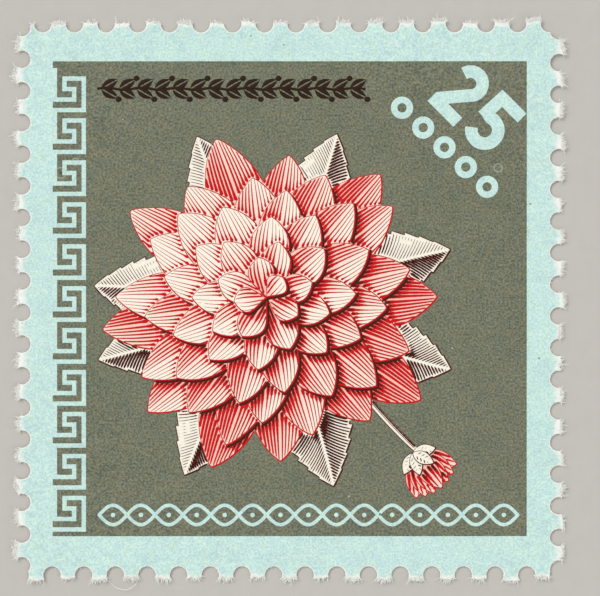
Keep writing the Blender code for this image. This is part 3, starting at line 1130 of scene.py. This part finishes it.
def flatInk(name):
    values = flatInks[name]
    material, tree = startMaterial(name)
    surface, edge = paperSurface(tree, paperLook), placeGroup(tree, tearGroup)
    colour = mixColours(tree, surface["Mottle"], values["tint"], values["other"])
    colour = mixColours(tree, surface["Drift"], colour, values["warm"])
    if name == "creamInk":
        colour = mixColours(tree, measured(tree, "blush"), colour, paperLook["blush"])
    clouds = calculate(tree, "MULTIPLY_ADD", surface["Mottle"], 0.5, surface["Drift"])
    shade = calculate(tree, "ADD", swing(tree, surface["Grain"], 2 * values["grain"]),
                      swing(tree, clouds, values["cloud"], paperLook["cloudMiddle"]))
    level = calculate(tree, "ADD", shade, 1.0)
    grey = addNode(tree, "ShaderNodeCombineColor", {0: level, 1: level, 2: level}).outputs[0]
    colour = mixColours(tree, 1.0, colour, grey, "MULTIPLY")
    if name in ("blueInk", "oliveInk"):
        spots = placeGroup(tree, flawGroup)
        for label, strength, tint in flawLooks:
            share = calculate(tree, "MULTIPLY", spots[label], strength)
            colour = mixColours(tree, share, colour, tint)
    colour = mixColours(tree, edge["White"], colour, paperLook["white"])
    rough = varied(tree, surface["Grain"], values["roughness"], paperLook["roughSwing"])
    tornRough = calculate(tree, "MULTIPLY", edge["White"], paperLook["tornRoughness"])
    rough = calculate(tree, "MAXIMUM", rough, tornRough)
    addFinish(tree, paperLook, colour, rough, surface["Height"])
    return material


raisedInks = {
    "redInk": {"thin": (192, 46, 42), "thick": (208, 10, 18), "roughness": 0.42},
    "brownInk": {"thin": (106, 46, 34), "thick": (72, 22, 12), "roughness": 0.48},
    "titleInk": {"thin": (66, 44, 28), "thick": (46, 28, 14), "roughness": 0.46},
}
raisedLook = {"fineness": 16000.0, "fibres": 0.2, "relief": 0.004, "gloss": 0.14, "roughSwing": 0.12,
              "grain": 0.5}


def raisedInk(name):
    values = raisedInks[name]
    material, tree = startMaterial(name)
    surface = paperSurface(tree, raisedLook)
    grainPart = swing(tree, surface["Grain"], raisedLook["grain"])
    depth = calculate(tree, "ADD", measured(tree, "inkDepth"), grainPart, clamp=True)
    colour = mixColours(tree, depth, values["thin"], values["thick"])
    rough = varied(tree, surface["Mottle"], values["roughness"], raisedLook["roughSwing"])
    addFinish(tree, raisedLook, colour, rough, surface["Height"])
    return material


gumLook = {
    "tint": (239, 233, 213), "other": (245, 240, 224), "crackTint": (206, 196, 168), "crackStrength": 0.25,
    "fineness": 5200.0, "fibres": 0.15, "crackle": 2600.0, "crackleVaries": 0.95, "crackWidth": 0.06,
    "crackDepth": 0.35, "surfaceDepth": 0.6, "relief": 0.010, "roughness": 0.34, "roughSwing": 0.16,
    "gloss": 0.5,
    "ridgeEvery": 1.15, "ridgeTilt": 0.04, "ridgeWander": 1.2, "ridgeDetail": 2.0,
    "waveUnit": 314,  # how far apart the ridges of a wave texture of scale 1 are
}


def gumMaterial():
    material, tree = startMaterial("driedGum")
    surface, place = paperSurface(tree, gumLook), objectPlace(tree)
    waves = {"Vector": mapped(tree, place, gumLook["ridgeTilt"]), "Distortion": gumLook["ridgeWander"],
             "Scale": gumLook["waveUnit"] / gumLook["ridgeEvery"], "Detail": gumLook["ridgeDetail"]}
    ridges = addNode(tree, "ShaderNodeTexWave", waves, bands_direction="Y").outputs["Fac"]
    crackle = {"Vector": place, "Scale": gumLook["crackle"], "Randomness": gumLook["crackleVaries"]}
    cells = addNode(tree, "ShaderNodeTexVoronoi", crackle, feature="DISTANCE_TO_EDGE").outputs["Distance"]
    whole = stepUp(tree, cells, 0.0, gumLook["crackWidth"])
    cracks = calculate(tree, "MULTIPLY", calculate(tree, "SUBTRACT", 1.0, whole), gumLook["crackStrength"])
    colour = mixColours(tree, surface["Mottle"], gumLook["tint"], gumLook["other"])
    colour = mixColours(tree, cracks, colour, gumLook["crackTint"])
    rough = varied(tree, surface["Mottle"], gumLook["roughness"], gumLook["roughSwing"])
    height = calculate(tree, "MULTIPLY_ADD", whole, gumLook["crackDepth"], ridges)
    height = calculate(tree, "MULTIPLY_ADD", surface["Height"], gumLook["surfaceDepth"], height)
    addFinish(tree, gumLook, colour, rough, height)
    return material


fibreLook = {"tint": (252, 252, 248), "other": (232, 234, 228), "fineness": 6000.0, "fibres": 0.45,
             "roughness": 0.85, "gloss": 0.3}


def fibreMaterial():
    material, tree = startMaterial("paperFibre")
    grainOf = paperSurface(tree, fibreLook)["Grain"]
    colour = mixColours(tree, grainOf, fibreLook["tint"], fibreLook["other"])
    addFinish(tree, fibreLook, colour, fibreLook["roughness"])
    return material


flatOrder = list(flatInks)
flatMaterials = [flatInk(name) for name in flatOrder]
print("materials ready")


def slotOfShape(owner):  # -1 is the foot and the wall, 0 the sheet's own outline, then the flat inks in order
    return flatOrder.index("barePaper" if owner < 0 else "blueInk" if owner == 0 else regions[owner - 1][1])


onSheet = [shape + fieldMiddle for shape, ink in regions]
sheet = closedSlab("sheet", outline, outlineTorn, flatMaterials, onSheet, edgeSpread(outline), sheetTop,
                   sheetFoot, slotOfShape, sheetMeasures)

gumForm = {"widen": 0.014, "shorten": 0.05, "overlap": 0.003}  # it stops short of the paper's rim


def gumTop(flat, torn, punched):
    return liftAt(flat) + sheetForm["gum"] + gumForm["overlap"]


def gumFoot(flat, torn, punched):
    return liftAt(flat)


gumOutline, gumTorn, _ = sheetOutline(gumForm["widen"], gumForm["shorten"])
gumOutline = gumOutline - rowsMiddle
gumExtras = spread(gumOutline.min(0), gumOutline.max(0), sheetMesh["coarseStep"])
gum = closedSlab("gum", gumOutline, gumTorn, [gumMaterial()], [], gumExtras, gumTop, gumFoot,
                 lambda owner: 0, lambda points, torn, punched: {}, footShows=True)

inkForm = {"rise": {"red": 0.015, "brown": 0.022, "title": 0.020}, "thinRise": 0.008, "fullAt": 0.13,
           "sink": 0.005, "topShare": 0.42, "pinch": 0.35, "ragged": 0.07}


def tubeFaces(start, rings, sides):  # the walls and the two ends of a strand laid in rings of points
    faces = []
    for here in range(start, start + sides * (rings - 1), sides):
        faces += [(here + k, here + (k + 1) % sides, here + sides + (k + 1) % sides, here + sides + k)
                  for k in range(sides)]
    last = start + sides * (rings - 1)
    return faces + [tuple(range(start + sides - 1, start - 1, -1)), tuple(range(last, last + sides))]


def inkPiece(name, ink, material, pinch=True):  # each stroke a low closed ridge of ink standing on the paper
    points, faces, depths, start = [], [], [], 0
    for path, widths in strokes[ink]:
        widths = widths * (1 + grain.uniform(-1, 1, len(widths)) * inkForm["ragged"])
        if pinch:
            widths[[0, -1]] *= inkForm["pinch"]
        side = leftOf(unitRows(np.gradient(path, axis=0))) * widths[:, None] / 2
        path = path + fieldMiddle
        height = printHeight(path)
        full = np.clip(widths / inkForm["fullAt"], 0, 1)
        crest = height + inkForm["thinRise"] + (inkForm["rise"][ink] - inkForm["thinRise"]) * full
        foot = height - inkForm["sink"]
        ridge = side * inkForm["topShare"]
        section = [np.column_stack([path + side, foot]), np.column_stack([path + ridge, crest]),
                   np.column_stack([path - ridge, crest]), np.column_stack([path - side, foot])]
        points.append(np.stack(section, 1).reshape(-1, 3))
        depths.append(np.repeat(full, 4))
        faces += tubeFaces(start, len(path), 4)
        start += 4 * len(path)
    measures = {"inkDepth": np.concatenate(depths)}
    return meshPiece(name, np.vstack(points), faces, [material], attributes=measures)


redLines = inkPiece("red_lines", "red", raisedInk("redInk"))
brownLines = inkPiece("brown_lines", "brown", raisedInk("brownInk"))
titleLines = inkPiece("title_sprig", "title", raisedInk("titleInk"), pinch=False)

# torn fibres: short curved hairs along the torn tips, a few at the holes, and one long hair at the foot
fibreForm = {
    "perTornMm": 84, "perRimMm": 2.6, "unevenness": (0.25, 1.35), "pieces": 4, "seed": 7,
    "lengths": (0.05, 0.29), "rimLengths": (0.04, 0.12), "longOnes": 0.9, "longBy": 1.7,
    "rootDepth": 0.13, "rimRootDepth": 0.03, "fan": 0.75, "rimFan": 1.1, "curl": 1.3,
    "heights": (0.055, 0.107), "rises": (-0.15, 0.60), "lowest": 0.012,
    "radius": 0.0150, "radiusVaries": (0.6, 1.25), "taper": (0.12, 0.93), "finestEnd": 0.15,
}
looseHair = {"path": [(-10.34, -16.29), (-9.95, -16.62), (-9.36, -16.75), (-8.86, -16.45), (-8.55, -15.77)],
             "radius": 0.017, "points": 40, "smoothing": 6, "height": 0.10, "arch": 0.10}


def hair(path, radius, points, faces):  # a three-sided strand, flat side up, that tapers at both ends
    path = np.array(path, float)
    run = unitRows(np.gradient(path, axis=0))
    side = unitRows(np.cross(run, (0, 0, 1)))
    up = np.cross(side, run)
    ease = np.sin(np.pi * np.linspace(*fibreForm["taper"], len(path)))
    ease = radius * np.clip(ease, fibreForm["finestEnd"], 1)[:, None]
    faces += tubeFaces(len(points), len(path), 3)
    for index in range(len(path)):
        for corner in range(3):
            turn = math.radians(120 * corner - 90)
            aside = math.cos(turn) * side[index] + math.sin(turn) * up[index]
            points.append(path[index] + ease[index] * aside)


def fibrePath(draw, foot, away, length):
    height = float(liftAt(foot[None])[0]) + draw.uniform(*fibreForm["heights"])
    rise, bend = draw.uniform(*fibreForm["rises"]), draw.uniform(-1, 1) * fibreForm["curl"]
    path, place, pieces = [], np.array([foot[0], foot[1], height]), fibreForm["pieces"]
    for part in range(pieces):
        path.append(place.copy())
        turn = away + bend * part / pieces
        climb = rise * (1 - part / (pieces - 1))
        place += length / (pieces - 1) * np.array([math.cos(turn), math.sin(turn), climb])
        place[2] = max(place[2], fibreForm["lowest"])
    return path


def growFibres():
    draw, normals = random.Random(fibreForm["seed"]), outwardOf(outline)
    points, faces, plenty = [], [], 1.0
    for index, torn in enumerate(outlineTorn):
        if torn and not outlineTorn[index - 1]:  # some teeth tear cleaner than others
            plenty = draw.uniform(*fibreForm["unevenness"])
        stretch = np.linalg.norm(outline[index] - outline[index - 1])
        wanted = stretch * (fibreForm["perTornMm"] * plenty if torn else fibreForm["perRimMm"])
        for _ in range(int(wanted) + (draw.random() < wanted % 1)):
            away = math.atan2(normals[index][1], normals[index][0])
            away += draw.gauss(0, fibreForm["fan" if torn else "rimFan"])
            length = draw.uniform(*fibreForm["lengths" if torn else "rimLengths"])
            length *= 1 if draw.random() < fibreForm["longOnes"] else fibreForm["longBy"]
            root = draw.uniform(0.0, fibreForm["rootDepth" if torn else "rimRootDepth"])
            path = fibrePath(draw, outline[index] - normals[index] * root, away, length)
            hair(path, fibreForm["radius"] * draw.uniform(*fibreForm["radiusVaries"]), points, faces)
    return points, faces


def longHair():
    knots = np.array(looseHair["path"]) + fieldMiddle
    t = np.linspace(0, len(knots) - 1, looseHair["points"])
    path = np.stack([np.interp(t, range(len(knots)), knots[:, axis]) for axis in (0, 1)], 1)
    for _ in range(looseHair["smoothing"]):
        path[1:-1] = (path[:-2] + 2 * path[1:-1] + path[2:]) / 4
    height = looseHair["height"] + looseHair["arch"] * np.sin(np.pi * t / t[-1])
    return np.column_stack([path, height])


fibrePoints, fibreFaces = growFibres()
hair(longHair(), looseHair["radius"], fibrePoints, fibreFaces)
fibres = meshPiece("fibres", np.array(fibrePoints), fibreFaces, [fibreMaterial()], smooth=False)

# floor and light
studio = {
    "floor": {"tint": (200, 197, 192), "size": 6000, "gap": 0.012, "roughness": 0.9, "gloss": 0.2,
              "darkest": 0.985, "speckles": (900.0, 6.0, 0.7), "speckleSpan": (0.3, 0.7)},
    "worldColour": (1.0, 0.995, 0.985, 1.0), "worldStrength": 0.58, "lampDistance": 400,
    "key": {"toward": (-0.53, 0.45, 0.72), "strength": 1.39, "softness": 30, "colour": (1.0, 0.985, 0.96)},
    "fill": {"toward": (0.63, -0.38, 0.67), "strength": 0.37, "softness": 50, "colour": (0.97, 0.985, 1.0)},
}


def addFloor():
    look = studio["floor"]
    material, tree = startMaterial("paleFloor")
    speckles = stepUp(tree, noise(tree, objectPlace(tree), *look["speckles"]), *look["speckleSpan"])
    darkest = [c * look["darkest"] for c in look["tint"]]
    addFinish(tree, look, mixColours(tree, speckles, darkest, look["tint"]), look["roughness"])
    half = look["size"] / 2
    corners = ((-1, -1), (1, -1), (1, 1), (-1, 1))
    floorMesh = bpy.data.meshes.new("floor")
    floorMesh.from_pydata([(x * half * mm, y * half * mm, -look["gap"] * mm) for x, y in corners], [],
                          [(0, 1, 2, 3)])
    floorMesh.materials.append(material)
    floor = addObject("floor", floorMesh)


def addLamp(name):  # a broad lamp far off, so that its light is even over the floor
    values = studio[name]
    lamp = addObject(name, bpy.data.lights.new(name, "SUN"))
    lamp.data.angle = math.radians(values["softness"])
    lamp.data.energy = values["strength"]
    lamp.data.color = values["colour"]
    toward = Vector(values["toward"]).normalized()
    lamp.location = toward * studio["lampDistance"] * mm
    lamp.rotation_euler = (-toward).to_track_quat("-Z", "Y").to_euler()


def lightStudio():
    world = bpy.data.worlds.new("studio")
    world.use_nodes = True
    fillInputs(world.node_tree.nodes["Background"],
               {"Color": studio["worldColour"], "Strength": studio["worldStrength"]})
    bpy.context.scene.world = world
    addLamp("key")
    addLamp("fill")


addFloor()
lightStudio()
print("floor and lights ready")
for piece in (sheet, gum, redLines, brownLines, titleLines, fibres):
    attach(piece, "root")
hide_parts("stamp")
